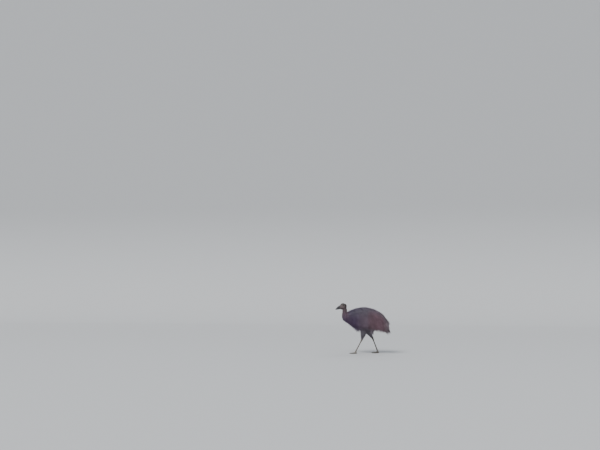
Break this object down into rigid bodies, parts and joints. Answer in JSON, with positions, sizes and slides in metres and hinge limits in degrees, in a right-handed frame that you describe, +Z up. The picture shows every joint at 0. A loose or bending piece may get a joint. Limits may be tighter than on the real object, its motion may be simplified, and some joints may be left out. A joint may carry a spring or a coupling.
{
  "type": "cassowary",
  "caption": "Still life-size model of a young cassowary walking: drooping shaggy plumage, low crown shield, stout legs, dagger-clawed feet.",
  "frame": {"origin": "on the ground plane, under the middle of the bird's bounding box", "axes": "+Z up, the bird faces -X, its left side is towards -Y"},
  "size_m": [0.9382, 0.3222, 0.8553],
  "materials": {
    "plumage": "shaggy hair-like feathers, dark plum brown with a cold sheen",
    "rump": "long drooping hair-like feathers, reddish brown",
    "neck_skin": "skin under short sparse feathers",
    "head_skin": "fine wrinkled skin under short down",
    "horn": "worn dark horn",
    "bill": "dark slate horn with a faint gloss",
    "eye": "wet dark brown",
    "scute": "raised scaly plates, grey tan",
    "claw": "dark horn, worn at the tips",
    "wattle": "soft wrinkled skin",
    "quill": "smooth bare quills"
  },
  "bodies": {
    "root": {"torso": "plumage", "tail": "rump", "head": "head_skin", "neck_upper": "neck_skin", "neck_lower": "plumage", "casque": "horn", "bill_upper": "bill", "bill_lower": "bill", "eye_left": "eye", "eye_right": "eye", "wattle_left": "wattle", "wattle_right": "wattle", "wing_left": "quill", "wing_right": "quill", "thigh_left": "plumage", "thigh_right": "plumage", "shank_left": "scute", "shank_right": "scute", "foot_left": "scute", "foot_right": "scute", "claw_middle_left": "claw", "claw_inner_left": "claw", "claw_outer_left": "claw", "claw_middle_right": "claw", "claw_inner_right": "claw", "claw_outer_right": "claw"}
  },
  "joints": []
}
